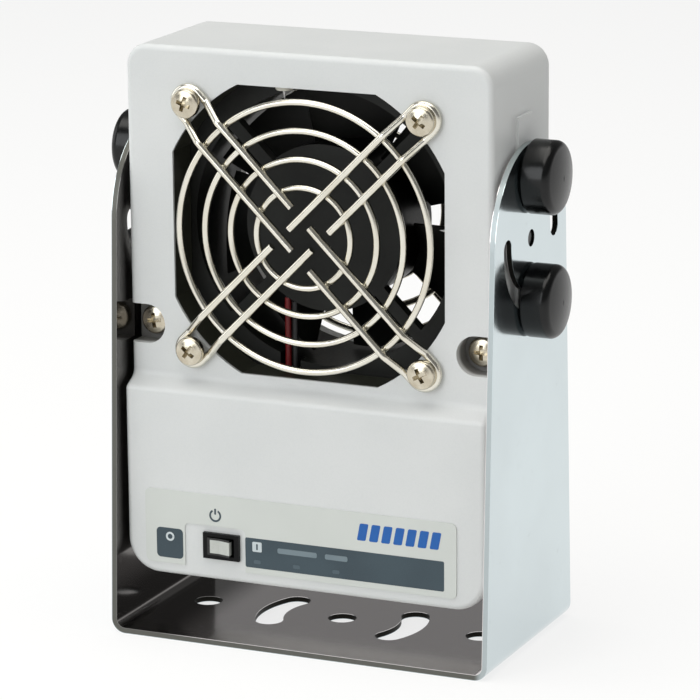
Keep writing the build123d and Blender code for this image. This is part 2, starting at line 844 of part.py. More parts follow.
def emitter_needles():
    """Thin pointed electrodes, one in each socket."""
    end_x = opening_size / 2 - socket_reach - needle_reach
    needles = []
    for place in emitter_places():
        shank = rod_x(needle_radius, end_x + needle_tip, opening_size / 2, 0, 0)
        tip = Cone(needle_radius, needle_radius / 5, needle_tip)
        shank += Pos(end_x + needle_tip / 2, 0, 0) * Rot(0, -90, 0) * tip
        needles.append(place * shank)
    return group(needles)


def emitter_bus():
    """The wire that links the two sockets, bent round the fan frame down to the supply's lead."""
    top_z = pivot_z + bus_half_size
    low_z = pivot_z - bus_half_size
    points = (
        (top_emitter_shift - socket_radius, bus_y, top_z), (bus_half_size, bus_y, top_z),
        (bus_half_size, bus_y, low_z), (high_voltage_wire_x - high_voltage_wire_radius, bus_y, low_z))
    return wire_tube(bus_wire_radius, points, bus_corner_radius)


def high_voltage_lead():
    """The short lead from the supply module up to the bus wire."""
    top_z = pivot_z - bus_half_size - bus_wire_radius
    lead = Cylinder(high_voltage_wire_radius, top_z - module_high)
    return Pos(high_voltage_wire_x, bus_y, (module_high + top_z) / 2) * lead


# Control board, switch and label


def control_board():
    """The circuit board behind the lower front wall."""
    half = board_width / 2
    board = block(-half, half, board_front_y, board_back_y, board_low, board_low + board_height)
    hole_radius = small_screw_radius + rest_gap
    for x, z in board_holes():
        board -= rod_y(hole_radius, board_front_y - overrun, board_back_y + overrun, x, z)
    return board


def board_holes():
    """The board's four fixing places."""
    middle_z = board_low + board_height / 2
    reach_x = board_width / 2 - board_post_inset
    reach_z = board_height / 2 - board_post_inset
    return [(x_sign * reach_x, middle_z + z_sign * reach_z) for x_sign, z_sign in corner_signs]


def board_screws():
    return group([Pos(x, board_back_y, z) * to_rear * small_screw() for x, z in board_holes()])


def status_leds():
    """Small lamps that reach through the front wall under the label."""
    lamps = []
    for number in range(led_count):
        x = led_start + number * led_pitch
        lamps.append(rod_y(led_radius, step_y + led_inset, board_front_y, x, led_z))
    return group(lamps)


def fan_connector():
    """The header on the back of the board that takes the fan's leads."""
    middle_x = wire_exit_x() + wire_pitch / 2
    top_z = board_low + board_height - board_post_inset / 2
    return block(middle_x - connector_width / 2, middle_x + connector_width / 2, board_back_y,
                 board_back_y + connector_depth, top_z - connector_height, top_z)


def board_capacitors():
    """Three round capacitors that lie behind the board."""
    x = board_width / 2 - board_post_inset * 2 - capacitor_radius
    z = board_low + board_height - board_post_inset - capacitor_radius
    end_y = board_back_y + capacitor_length
    return group([
        rod_y(capacitor_radius, board_back_y, end_y, x - number * capacitor_pitch, z) for number in range(3)])


def switch_housing():
    """The rocker switch's bezel and body, open at the front."""
    bezel = Pos(switch_x, switch_z) * Rectangle(bezel_width, bezel_height)
    body = Pos(switch_x, switch_z) * Rectangle(switch_body_width, switch_body_height)
    housing = slab(bezel, step_y, step_y - bezel_lip) + slab(body, board_front_y, step_y)
    swing = (rocker_pivot_y() - step_y + bezel_lip) * math.tan(math.radians(rocker_turn / 2))
    mouth = Pos(switch_x, switch_z) * Rectangle(
        rocker_width + (swing + rocker_gap) * 2, rocker_height + rocker_gap * 2)
    housing -= slab(mouth, rocker_pivot_y() + rocker_depth, step_y - bezel_lip - overrun)
    reach = rocker_height / 2 + rocker_gap + trunnion_length
    socket = Cylinder(trunnion_radius + slide_gap, reach * 2)
    return housing - Pos(switch_x, rocker_pivot_y(), switch_z) * socket


def rocker_pivot_y():
    """The rocker turns on an upright axis just behind the bezel's face."""
    return step_y + rocker_depth / 3


def power_rocker():
    """A rocker with two flat faces that meet in a shallow valley, held by two trunnions."""
    half = rocker_width / 2
    tilt = math.radians(rocker_turn / 2)
    front = step_y - bezel_lip - rocker_proud - rocker_pivot_y()
    edge_front = front - half * math.tan(tilt)
    heel = rocker_depth / 2
    profile = make_face(Polyline(
        (-half, edge_front), (0, front), (half, edge_front), (half - rocker_gap, 0), (half / 2, heel),
        (-half / 2, heel), (-half + rocker_gap, 0), close=True))
    body = extrude(profile, rocker_height / 2, both=True)
    body += Cylinder(trunnion_radius, rocker_height + trunnion_length * 2)
    return Pos(switch_x, rocker_pivot_y(), switch_z) * Rot(0, 0, -rocker_turn / 2) * body


def switch_contacts():
    """Three flat terminals from the switch through the board."""
    terminals = []
    half = contact_width / 2
    end_y = board_back_y + contact_length
    for number in range(3):
        x = switch_x + (number - 1) * contact_pitch
        terminals.append(block(x - half, x + half, board_back_y, end_y,
                               switch_z - contact_width, switch_z + contact_width))
    return group(terminals)


def panel_label():
    """The thin overlay on the lower front, cut away round the switch."""
    low = head_low + label_lift
    sheet_outline = Pos(label_offset, low + label_height / 2) * Rectangle(label_width, label_height)
    sheet_outline = fillet(sheet_outline.vertices(), label_corner_radius)
    window = Pos(switch_x - window_offset, low + window_height / 2) * Rectangle(window_width, window_height)
    window = fillet(window.vertices().group_by(Axis.Y)[-1], window_corner_radius)
    window += Pos(switch_x - window_offset, low) * Rectangle(window_width, overrun)
    return slab(sheet_outline - window, step_y, step_y - label_thickness)


# Power supply


def high_voltage_module():
    """The potted high-voltage supply with a fixing ear at each end."""
    low_x = module_offset - module_width / 2
    body = block(low_x, low_x + module_width, module_front_y, module_back_y, module_low, module_high)
    body = fillet(body.edges().filter_by(Axis.Y), module_round)
    middle_z = module_low + module_height / 2
    reach = module_width / 2 + module_ear
    body += block(module_offset - reach, module_offset + reach,
                  module_back_y - module_ear_thickness, module_back_y,
                  middle_z - module_ear / 2, middle_z + module_ear / 2)
    for _, side in sides:
        x = module_offset + side * (module_width + module_ear) / 2
        body -= rod_y(small_screw_radius + rest_gap, module_front_y, module_back_y + overrun, x, middle_z)
    return body


def module_screws():
    middle_z = module_low + module_height / 2
    face = module_back_y - module_ear_thickness
    places = [module_offset + side * (module_width + module_ear) / 2 for _, side in sides]
    return group([Pos(x, face, middle_z) * to_front * small_screw() for x in places])


def power_jack():
    """The round power inlet: body inside, threaded bush through the back plate."""
    jack = rod_y(jack_body_radius, seam_y - jack_body_length, seam_y, jack_x, jack_z)
    jack += rod_y(jack_bush_radius, seam_y - fit_gap, back_y + jack_bush_proud, jack_x, jack_z)
    mouth = back_y + jack_bush_proud
    return jack - rod_y(jack_bore_radius, mouth - jack_bore_depth, mouth + overrun, jack_x, jack_z)


def jack_pin():
    """The centre pin in the inlet's bore."""
    mouth = back_y + jack_bush_proud
    return rod_y(jack_pin_radius, mouth - jack_bore_depth, mouth - jack_pin_recess, jack_x, jack_z)


def jack_nut():
    """The hexagon nut outside the back plate."""
    nut = RegularPolygon(jack_nut_width / 2, 6, major_radius=False) - Circle(jack_bush_radius + fit_gap)
    nut = Pos(jack_x, jack_z) * nut
    return slab(nut, back_y + jack_nut_thickness, back_y)


# Leads


def lead_pieces():
    """Two leads from the motor mount and two from the power inlet, all ending at the board."""
    pieces = {}
    depth = fan_front_y + wire_radius + rest_gap
    plug_z = board_low + board_height - board_post_inset / 2
    plug_y = board_back_y + connector_depth / 2
    bend_z = plug_z + wire_bend_radius * 2
    for number, colour in enumerate(("red", "black")):
        x = wire_exit_x() + number * wire_pitch
        near_x = abs(x) - wire_radius
        start_z = pivot_z - math.sqrt(mount_disc_radius ** 2 - near_x ** 2) - fit_gap
        points = ((x, depth, start_z), (x, depth, bend_z),
                  (x, plug_y, bend_z - wire_bend_radius), (x, plug_y, plug_z))
        pieces[f"fan_lead_{colour}"] = wire_tube(wire_radius, points, wire_bend_radius / 2)

        x = jack_x + (number * 2 - 1) * wire_pitch
        jack_back = seam_y - jack_body_length
        middle_y = (jack_back + board_back_y) / 2
        end_z = jack_z + supply_lead_rise
        points = ((x, jack_back, jack_z), (x, middle_y, jack_z),
                  (x, middle_y, end_z), (x, board_back_y, end_z))
        pieces[f"supply_lead_{colour}"] = wire_tube(wire_radius, points, wire_bend_radius)
    return pieces


def all_pieces():
    """Every piece of the blower by its node name."""
    front_place = Pos(0, face_y, pivot_z) * to_front
    rear_place = Pos(0, back_y, pivot_z) * to_rear
    cover_screw = pan_screw(cover_screw_length)
    pieces = {
        "mounting_bracket": mounting_bracket(),
        "front_housing": front_housing(),
        "rear_cover": rear_cover(),
        "front_guard": wire_guard(front_place, guard_pitch),
        "rear_guard": wire_guard(rear_place, fan_hole_pitch),
        "front_guard_screws": guard_screws(front_place, guard_pitch),
        "rear_guard_screws": guard_screws(rear_place, fan_hole_pitch),
        "cover_screws": group([
            Pos(side * cover_screw_x, notch_y, cover_screw_z) * to_front * cover_screw for _, side in sides]),
        "knob_inserts": knob_inserts(),
        "pivot_pins": pivot_pins(),
        "emitter_sockets": emitter_sockets(),
        "emitter_needles": emitter_needles(),
        "emitter_bus": emitter_bus(),
        "high_voltage_lead": high_voltage_lead(),
        "control_board": control_board(),
        "board_screws": board_screws(),
        "status_leds": status_leds(),
        "fan_connector": fan_connector(),
        "board_capacitors": board_capacitors(),
        "switch_housing": switch_housing(),
        "power_rocker": power_rocker(),
        "switch_contacts": switch_contacts(),
        "panel_label": panel_label(),
        "high_voltage_module": high_voltage_module(),
        "module_screws": module_screws(),
        "power_jack": power_jack(),
        "jack_pin": jack_pin(),
        "jack_nut": jack_nut(),
    }
    pieces.update(fan_pieces())
    pieces.update(knob_pieces())
    pieces.update(lead_pieces())
    return pieces


os.makedirs("parts", exist_ok=True)
for node, piece in all_pieces().items():
    export_step(piece, f"parts/{node}.step")
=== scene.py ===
import json
import math

import bmesh
import bpy
from mathutils import Matrix, Vector


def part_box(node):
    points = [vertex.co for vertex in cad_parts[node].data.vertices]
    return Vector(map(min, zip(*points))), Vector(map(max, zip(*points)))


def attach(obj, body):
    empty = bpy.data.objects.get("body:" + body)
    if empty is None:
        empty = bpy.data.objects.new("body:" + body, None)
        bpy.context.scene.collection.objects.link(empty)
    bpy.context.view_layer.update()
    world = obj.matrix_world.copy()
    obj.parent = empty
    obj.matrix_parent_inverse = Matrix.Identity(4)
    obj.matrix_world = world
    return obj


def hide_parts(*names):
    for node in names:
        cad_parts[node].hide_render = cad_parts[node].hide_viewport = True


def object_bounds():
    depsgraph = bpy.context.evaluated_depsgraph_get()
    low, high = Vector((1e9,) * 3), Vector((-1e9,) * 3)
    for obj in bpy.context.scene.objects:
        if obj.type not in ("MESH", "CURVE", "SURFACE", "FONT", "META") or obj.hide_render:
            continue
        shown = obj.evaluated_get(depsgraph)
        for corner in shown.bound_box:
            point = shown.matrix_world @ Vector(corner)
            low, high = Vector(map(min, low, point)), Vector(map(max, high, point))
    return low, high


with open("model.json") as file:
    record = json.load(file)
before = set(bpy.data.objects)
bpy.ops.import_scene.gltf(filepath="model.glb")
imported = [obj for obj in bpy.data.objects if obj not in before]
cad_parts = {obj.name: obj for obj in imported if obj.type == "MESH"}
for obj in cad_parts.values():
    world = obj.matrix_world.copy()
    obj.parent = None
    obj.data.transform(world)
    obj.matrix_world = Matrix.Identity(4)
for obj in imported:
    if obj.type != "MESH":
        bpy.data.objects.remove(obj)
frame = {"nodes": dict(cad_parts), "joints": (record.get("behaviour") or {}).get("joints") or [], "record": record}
cadLow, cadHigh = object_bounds()
nodes = frame["nodes"]
axisAt = {joint["name"]: Vector(joint["pos_m"]) for joint in frame["joints"]}
mm = 0.001
fanCentre = axisAt["fan_spin"]
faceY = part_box("front_guard")[1].y  # the front guard stands on the casing's face
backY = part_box("rear_guard")[0].y  # and the rear guard on its back
print("frame loaded with", len(nodes), "nodes")


# Node trees: a Wire is one output of a node, so that maths on it reads as a sum.

class Wire:
    def __init__(self, net, node, output=0):
        self.net = net
        self.node = node
        self.socket = node.outputs[output]

    def __getitem__(self, output):
        return Wire(self.net, self.node, output)

    def __add__(self, other):
        return self.net.maths("ADD", self, other)

    def __radd__(self, other):
        return self.net.maths("ADD", other, self)

    def __sub__(self, other):
        return self.net.maths("SUBTRACT", self, other)

    def __rsub__(self, other):
        return self.net.maths("SUBTRACT", other, self)

    def __mul__(self, other):
        return self.net.maths("MULTIPLY", self, other)

    def __rmul__(self, other):
        return self.net.maths("MULTIPLY", other, self)

    def __neg__(self):
        return self.net.maths("MULTIPLY", self, -1.0)


class Net:
    def __init__(self, tree):
        self.tree = tree
        tree.nodes.clear()

    # One method makes every node: settings go in first, then values or links for its sockets.
    def node(self, kind, settings=None, sockets=None, output=0):
        made = self.tree.nodes.new(kind)
        for name, value in (settings or {}).items():
            if name == "choices":
                while len(made.index_switch_items) < value:
                    made.index_switch_items.new()
            else:
                setattr(made, name, value)
        for name, value in (sockets or {}).items():
            if isinstance(value, Wire):
                self.tree.links.new(value.socket, made.inputs[name])
            else:
                made.inputs[name].default_value = value
        return Wire(self, made, output) if made.outputs else made

    def maths(self, operation, *values):
        return self.node("ShaderNodeMath", {"operation": operation}, dict(enumerate(values)))

    def apart(self, vector):
        return self.node("ShaderNodeSeparateXYZ", {}, {"Vector": vector})

    def point(self, x, y, z):
        return self.node("ShaderNodeCombineXYZ", {}, {"X": x, "Y": y, "Z": z})

    # How far a point is from the origin of its two coordinates.
    def reach(self, a, b):
        return self.maths("SQRT", a * a + b * b)

    # Goes from 0 to 1 between two values of x.
    def ease(self, x, start, end):
        settings = {"interpolation_type": "SMOOTHSTEP"}
        return self.node("ShaderNodeMapRange", settings, {"Value": x, "From Min": start, "From Max": end})

    def mixed(self, mask, base, over):
        return self.node("ShaderNodeMix", {"data_type": "RGBA"}, {0: mask, 6: base, 7: over}, output=2)


def fromScreen(red, green, blue):  # a colour as a screen shows it, to the linear one that Blender wants
    def linear(value):
        share = value / 255
        return share / 12.92 if share <= 0.04045 else ((share + 0.055) / 1.055) ** 2.4
    return (linear(red), linear(green), linear(blue), 1.0)


# Finishes

class Finish(Net):
    def __init__(self, name):
        self.material = bpy.data.materials.new(name)
        self.material.use_nodes = True
        super().__init__(self.material.node_tree)
        self.place = self.node("ShaderNodeTexCoord")["Object"]

    def noise(self, scale, detail, stretch=(1.0, 1.0, 1.0)):
        along = self.node("ShaderNodeMapping", {}, {"Vector": self.place, "Scale": stretch})
        return self.node("ShaderNodeTexNoise", {}, {"Vector": along, "Scale": scale, "Detail": detail})

    def bump(self, height, depth):
        return self.node("ShaderNodeBump", {}, {"Height": height, "Distance": depth, "Strength": 1.0})

    def close(self, sockets):
        shader = self.node("ShaderNodeBsdfPrincipled", {}, sockets)
        self.node("ShaderNodeOutputMaterial", {}, {"Surface": shader})
        return self.material


noiseMean = 0.5
mouldedPattern = {
    "grainDetail": 3.0, "cloudDetail": 2.0, "speckFrom": 0.35, "speckTo": 0.75,
    "cloudFrom": 0.3, "cloudTo": 0.7, "coatRoughness": 0.1, "ior": 1.47,
}
metalPattern = {
    "lineDetail": 4.0, "cloudDetail": 3.0, "cloudFrom": 0.25, "cloudTo": 0.75,
    "pitDetail": 1.0, "pitFrom": 0.68, "pitTo": 0.8, "pitTint": 0.4, "pitRoughness": 0.08,
}


# A moulded plastic: eroded grain from the tool, faint flow clouds and a roughness that drifts.
def mouldedFinish(name, look):
    net = Finish(name)
    pattern = mouldedPattern
    grain = net.noise(look["grainScale"], pattern["grainDetail"])
    cloud = net.noise(look["cloudScale"], pattern["cloudDetail"])
    speck = net.ease(grain, pattern["speckFrom"], pattern["speckTo"]) * look["speck"]
    drift = net.ease(cloud, pattern["cloudFrom"], pattern["cloudTo"]) * look["drift"]
    colour = net.mixed(drift + speck, look["colour"], look["tint"])
    # The duct and notch masks paint shade into the colour; the rim is the rocker's dark margin
    for part, mask in (("duct", ductShadeMask), ("notch", notchShadeMask), ("rim", rimMask)):
        if part in look:
            colour = net.mixed(mask(net, look[part]), colour, look[part]["colour"])
    return net.close({
        "Base Color": colour,
        "Roughness": look["roughness"] + (grain - noiseMean) * look["roughnessDrift"],
        "Coat Weight": look.get("coat", 0.0),
        "Coat Roughness": look.get("coatRoughness", pattern["coatRoughness"]),
        "IOR": look.get("ior", pattern["ior"]),
        "Normal": net.bump(grain, look["grainDepth"]),
    })


# Goes to 1 between two depths behind the casing's face, over a soft start and a sharp end.
def betweenDepths(net, y, depths):
    start, end = faceY + depths["start"], faceY + depths["end"]
    return net.ease(y, start, start + depths["soft"]) * (1.0 - net.ease(y, end, end + depths["blur"]))


# Painted shade on the walls of the square air duct behind the face, dark from just inside the rim.
def ductShadeMask(net, duct):
    spot = net.apart(net.place)
    across = net.maths("ABSOLUTE", spot["X"] - fanCentre.x)
    upward = net.maths("ABSOLUTE", spot["Z"] - fanCentre.z)
    outside = net.ease(net.maths("MAXIMUM", across, upward), duct["half"], duct["half"] + duct["blur"])
    return (1.0 - outside) * betweenDepths(net, spot["Y"], duct)


# Painted shade in the round side notches with the cover screws, below their rims.
def notchShadeMask(net, notch):
    low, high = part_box("cover_screws")
    spot = net.apart(net.place)
    across = net.maths("ABSOLUTE", spot["X"]) - (high.x - notch["screwRadius"])
    across = net.maths("MINIMUM", across, 0.0)
    upward = spot["Z"] - (low.z + high.z) / 2
    outside = net.ease(net.reach(across, upward), notch["radius"], notch["radius"] + notch["blur"])
    return (1.0 - outside) * betweenDepths(net, spot["Y"], notch) * notch["strength"]


# The dark margin round the rocker's white face.
def rimMask(net, rim):
    low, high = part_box("power_rocker")
    spot = net.apart(net.place)
    across = net.maths("ABSOLUTE", spot["X"] - (low.x + high.x) / 2 - rim["shift"])
    upward = net.maths("ABSOLUTE", spot["Z"] - (low.z + high.z) / 2)
    return net.maths("MAXIMUM", net.ease(across, rim["halfWidth"], rim["halfWidth"] + rim["blur"]),
                     net.ease(upward, rim["halfHeight"], rim["halfHeight"] + rim["blur"]))


# A rolled, turned or plated metal: fine lines along one way, a soft cloud and rare pits.
def metalFinish(name, look):
    net = Finish(name)
    pattern = metalPattern
    lines = net.noise(look["lineScale"], pattern["lineDetail"], look["lineStretch"])
    cloud = net.noise(look["cloudScale"], pattern["cloudDetail"])
    pits = net.ease(net.noise(look["pitScale"], pattern["pitDetail"]), pattern["pitFrom"], pattern["pitTo"])
    drift = net.ease(cloud, pattern["cloudFrom"], pattern["cloudTo"]) * look["drift"]
    colour = net.mixed(drift + pits * pattern["pitTint"], look["colour"], look["tint"])
    roughness = look["roughness"] + (lines - noiseMean) * look["roughnessDrift"]
    roughness = roughness + pits * pattern["pitRoughness"]
    if "sheet" in look:
        colour, cut = sheetColour(net, colour, look["sheet"])
        roughness = roughness + cut * look["sheet"]["cutRoughness"]
    return net.close({
        "Base Color": colour,
        "Metallic": 1.0,
        "Roughness": roughness,
        "Normal": net.bump(lines, look["lineDepth"]),
    })


# The bent strip: rougher where it was cut, with painted shade on its cut edges and hole walls, and on its inner
# side a brighter painted-light tone with painted shade towards the left bend.
def sheetColour(net, colour, sheet):
    thin, skin = sheet["thickness"], sheet["skin"]
    bendX = sheetOuterX - sheet["bend"]
    spot = net.apart(net.place)

    # How deep a point lies below the strip's outer side, measured round the bend too
    across = net.maths("MAXIMUM", net.maths("ABSOLUTE", spot["X"]) - bendX, 0.0)
    down = net.maths("MAXIMUM", sheet["bend"] - spot["Z"], 0.0)
    depth = sheet["bend"] - net.reach(across, down)
    inner = net.ease(depth, thin - skin * 2, thin - skin)
    cut = net.ease(depth, skin, skin * 2) * (1.0 - inner)

    # Painted light and shade on the inner side: a brighter tone, darkened towards the left bend
    leftward = net.ease(-spot["X"], sheet["shadeStart"], sheet["shadeEnd"])
    colour = net.mixed(inner, colour, sheet["innerColour"])
    colour = net.mixed(inner * leftward * sheet["shade"], colour, sheet["shadeColour"])

    # A cut within the base's width or near the tilt axis is a hole's wall, any other is the strip's edge; both get
    # painted shade, which painted light lifts on the right arm's edges
    inBase = net.maths("LESS_THAN", spot["Z"], sheet["bend"])
    inBase = inBase * net.maths("LESS_THAN", net.maths("ABSOLUTE", spot["Y"]), sheet["baseReach"])
    rise = spot["Z"] - axisAt["head_tilt"].z
    inArm = net.maths("LESS_THAN", net.reach(spot["Y"], rise), sheet["slotReach"])
    hole = net.maths("MAXIMUM", inBase, inArm)
    rightArm = net.ease(spot["X"], bendX, sheetOuterX - thin)
    edgeShade = net.mixed(rightArm * sheet["brightness"], sheet["edgeColour"], colour)
    return net.mixed(cut, colour, net.mixed(hole, edgeShade, sheet["holeColour"])), cut


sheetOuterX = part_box("mounting_bracket")[1].x
shellLook = {
    "colour": fromScreen(217, 219, 219), "tint": fromScreen(208, 211, 211), "drift": 0.5, "speck": 0.25,
    "grainScale": 3200.0, "cloudScale": 45.0, "grainDepth": 0.012 * mm,
    "roughness": 0.42, "roughnessDrift": 0.12,
    # Painted shade: the duct walls and the screw notches are darkened behind the face
    "duct": {"half": 31.0 * mm, "start": 0.5 * mm, "end": 27.5 * mm, "soft": 0.25 * mm, "blur": 0.25 * mm,
             "colour": fromScreen(50, 51, 42)},
    "notch": {"screwRadius": 3.0 * mm, "radius": 4.2 * mm, "start": 0.8 * mm, "end": 5.2 * mm,
              "soft": 1.6 * mm, "blur": 0.2 * mm, "strength": 0.75, "colour": fromScreen(66, 60, 50)},
}
stainlessLook = {
    "colour": fromScreen(212, 223, 226), "tint": fromScreen(200, 210, 213), "drift": 0.5,
    "lineScale": 260.0, "lineStretch": (1.0, 22.0, 1.0), "lineDepth": 0.0016 * mm,
    "cloudScale": 38.0, "pitScale": 700.0, "roughness": 0.12, "roughnessDrift": 0.06,
    "sheet": {
        "thickness": 1.2 * mm, "bend": 3.0 * mm, "skin": 0.06 * mm,
        "baseReach": 22.0 * mm, "slotReach": 17.0 * mm,
        # Painted shade on the inner side towards the left bend
        "shadeStart": 22.0 * mm, "shadeEnd": 33.0 * mm, "shade": 0.85, "shadeColour": fromScreen(62, 60, 56),
        # Painted shade on cut edges and hole walls, lifted by painted light on the right arm's edges
        "edgeColour": fromScreen(104, 104, 99), "brightness": 0.65, "holeColour": fromScreen(34, 33, 30),
        # The inner side's brighter tone is painted light
        "cutRoughness": 0.38, "innerColour": fromScreen(238, 233, 232)},
}
nickelWireLook = {
    "colour": fromScreen(233, 230, 219), "tint": fromScreen(210, 203, 184), "drift": 0.5,
    "lineScale": 900.0, "lineStretch": (1.0, 1.0, 1.0), "lineDepth": 0.002 * mm,
    "cloudScale": 160.0, "pitScale": 1500.0, "roughness": 0.2, "roughnessDrift": 0.12,
}
nickelScrewLook = {
    "colour": fromScreen(214, 207, 190), "tint": fromScreen(183, 172, 150), "drift": 0.7,
    "lineScale": 1500.0, "lineStretch": (1.0, 1.0, 1.0), "lineDepth": 0.003 * mm,
    "cloudScale": 420.0, "pitScale": 2400.0, "roughness": 0.22, "roughnessDrift": 0.14,
}
steelLook = {
    "colour": fromScreen(198, 198, 198), "tint": fromScreen(170, 170, 168), "drift": 0.5,
    "lineScale": 600.0, "lineStretch": (8.0, 1.0, 1.0), "lineDepth": 0.003 * mm,
    "cloudScale": 200.0, "pitScale": 1200.0, "roughness": 0.28, "roughnessDrift": 0.1,
}
brassLook = {
    "colour": fromScreen(214, 183, 122), "tint": fromScreen(178, 142, 84), "drift": 0.6,
    "lineScale": 700.0, "lineStretch": (8.0, 1.0, 1.0), "lineDepth": 0.003 * mm,
    "cloudScale": 260.0, "pitScale": 1500.0, "roughness": 0.3, "roughnessDrift": 0.12,
}
copperLook = {
    "colour": fromScreen(186, 104, 62), "tint": fromScreen(140, 66, 36), "drift": 0.8,
    "lineScale": 500.0, "lineStretch": (1.0, 10.0, 1.0), "lineDepth": 0.05 * mm,
    "cloudScale": 300.0, "pitScale": 1500.0, "roughness": 0.32, "roughnessDrift": 0.1,
}
coreLook = {
    "colour": fromScreen(130, 132, 136), "tint": fromScreen(88, 88, 90), "drift": 0.8,
    "lineScale": 300.0, "lineStretch": (1.0, 12.0, 1.0), "lineDepth": 0.04 * mm,
    "cloudScale": 260.0, "pitScale": 1200.0, "roughness": 0.42, "roughnessDrift": 0.1,
}
knobLook = {
    "colour": fromScreen(4, 5, 5), "tint": fromScreen(10, 11, 12), "drift": 0.6, "speck": 0.2,
    "coat": 0.08, "coatRoughness": 0.06, "ior": 1.38,
    "grainScale": 900.0, "cloudScale": 120.0, "grainDepth": 0.004 * mm,
    "roughness": 0.24, "roughnessDrift": 0.1,
}
fanLook = {
    "colour": fromScreen(12, 13, 11), "tint": fromScreen(22, 24, 20), "drift": 0.7, "speck": 0.4, "ior": 1.36,
    "grainScale": 1600.0, "cloudScale": 90.0, "grainDepth": 0.015 * mm,
    "roughness": 0.46, "roughnessDrift": 0.16,
}
bladeLook = {
    "colour": fromScreen(9, 10, 8), "tint": fromScreen(18, 19, 16), "drift": 0.7, "speck": 0.3, "ior": 1.32,
    "grainScale": 1300.0, "cloudScale": 70.0, "grainDepth": 0.01 * mm,
    "roughness": 0.38, "roughnessDrift": 0.14,
}
switchLook = {
    "colour": fromScreen(7, 7, 8), "tint": fromScreen(15, 15, 16), "drift": 0.5, "speck": 0.3, "ior": 1.25,
    "grainScale": 2400.0, "cloudScale": 200.0, "grainDepth": 0.006 * mm,
    "roughness": 0.34, "roughnessDrift": 0.1,
}
rockerLook = {
    "colour": fromScreen(196, 199, 194), "tint": fromScreen(178, 181, 175), "drift": 0.5, "speck": 0.2,
    "coat": 0.3, "grainScale": 2000.0, "cloudScale": 260.0, "grainDepth": 0.004 * mm,
    "roughness": 0.3, "roughnessDrift": 0.1,
    "rim": {"shift": 0.25 * mm, "halfWidth": 2.3 * mm, "halfHeight": 1.35 * mm, "blur": 0.1 * mm,
            "colour": fromScreen(6, 6, 6)},
}
resinLook = {
    "colour": fromScreen(238, 236, 226), "tint": fromScreen(222, 217, 200), "drift": 0.5, "speck": 0.2,
    "grainScale": 1800.0, "cloudScale": 240.0, "grainDepth": 0.006 * mm,
    "roughness": 0.34, "roughnessDrift": 0.1,
}
labelLook = {
    "colour": fromScreen(208, 212, 208), "tint": fromScreen(202, 206, 202), "drift": 0.5, "speck": 0.2,
    "coat": 0.15, "grainScale": 5200.0, "cloudScale": 60.0, "grainDepth": 0.004 * mm,
    "roughness": 0.36, "roughnessDrift": 0.08,
}
wireCoatLook = {
    "drift": 0.6, "speck": 0.2, "grainScale": 1500.0, "cloudScale": 260.0, "grainDepth": 0.01 * mm,
    "roughness": 0.42, "roughnessDrift": 0.1,
}
redWireLook = {**wireCoatLook, "colour": fromScreen(122, 16, 20), "tint": fromScreen(96, 10, 14)}
blackWireLook = {**wireCoatLook, "colour": fromScreen(22, 22, 23), "tint": fromScreen(36, 36, 37)}
whiteWireLook = {**wireCoatLook, "colour": fromScreen(226, 224, 214), "tint": fromScreen(206, 202, 190)}
boardLook = {
    "colour": fromScreen(24, 92, 52), "tint": fromScreen(16, 70, 40), "drift": 0.8, "speck": 0.4, "coat": 0.3,
    "grainScale": 900.0, "cloudScale": 420.0, "grainDepth": 0.02 * mm,
    "roughness": 0.35, "roughnessDrift": 0.1,
}
componentLook = {
    "colour": fromScreen(40, 40, 43), "tint": fromScreen(58, 58, 62), "drift": 0.6, "speck": 0.4,
    "grainScale": 1500.0, "cloudScale": 260.0, "grainDepth": 0.015 * mm,
    "roughness": 0.45, "roughnessDrift": 0.1,
}
capacitorLook = {
    "colour": fromScreen(54, 66, 108), "tint": fromScreen(40, 50, 86), "drift": 0.6, "speck": 0.2,
    "coat": 0.4, "grainScale": 1500.0, "cloudScale": 200.0, "grainDepth": 0.004 * mm,
    "roughness": 0.3, "roughnessDrift": 0.1,
}
lampLook = {
    "colour": fromScreen(150, 206, 130), "tint": fromScreen(176, 222, 158), "drift": 0.6, "speck": 0.1,
    "coat": 0.5, "grainScale": 900.0, "cloudScale": 500.0, "grainDepth": 0.002 * mm,
    "roughness": 0.2, "roughnessDrift": 0.05,
}
magnetLook = {
    "colour": fromScreen(62, 60, 58), "tint": fromScreen(84, 80, 76), "drift": 0.7, "speck": 0.6,
    "grainScale": 1400.0, "cloudScale": 260.0, "grainDepth": 0.03 * mm,
    "roughness": 0.6, "roughnessDrift": 0.1,
}
moduleLook = {
    "colour": fromScreen(34, 34, 36), "tint": fromScreen(50, 50, 52), "drift": 0.6, "speck": 0.4,
    "grainScale": 1200.0, "cloudScale": 120.0, "grainDepth": 0.02 * mm,
    "roughness": 0.5, "roughnessDrift": 0.12,
}

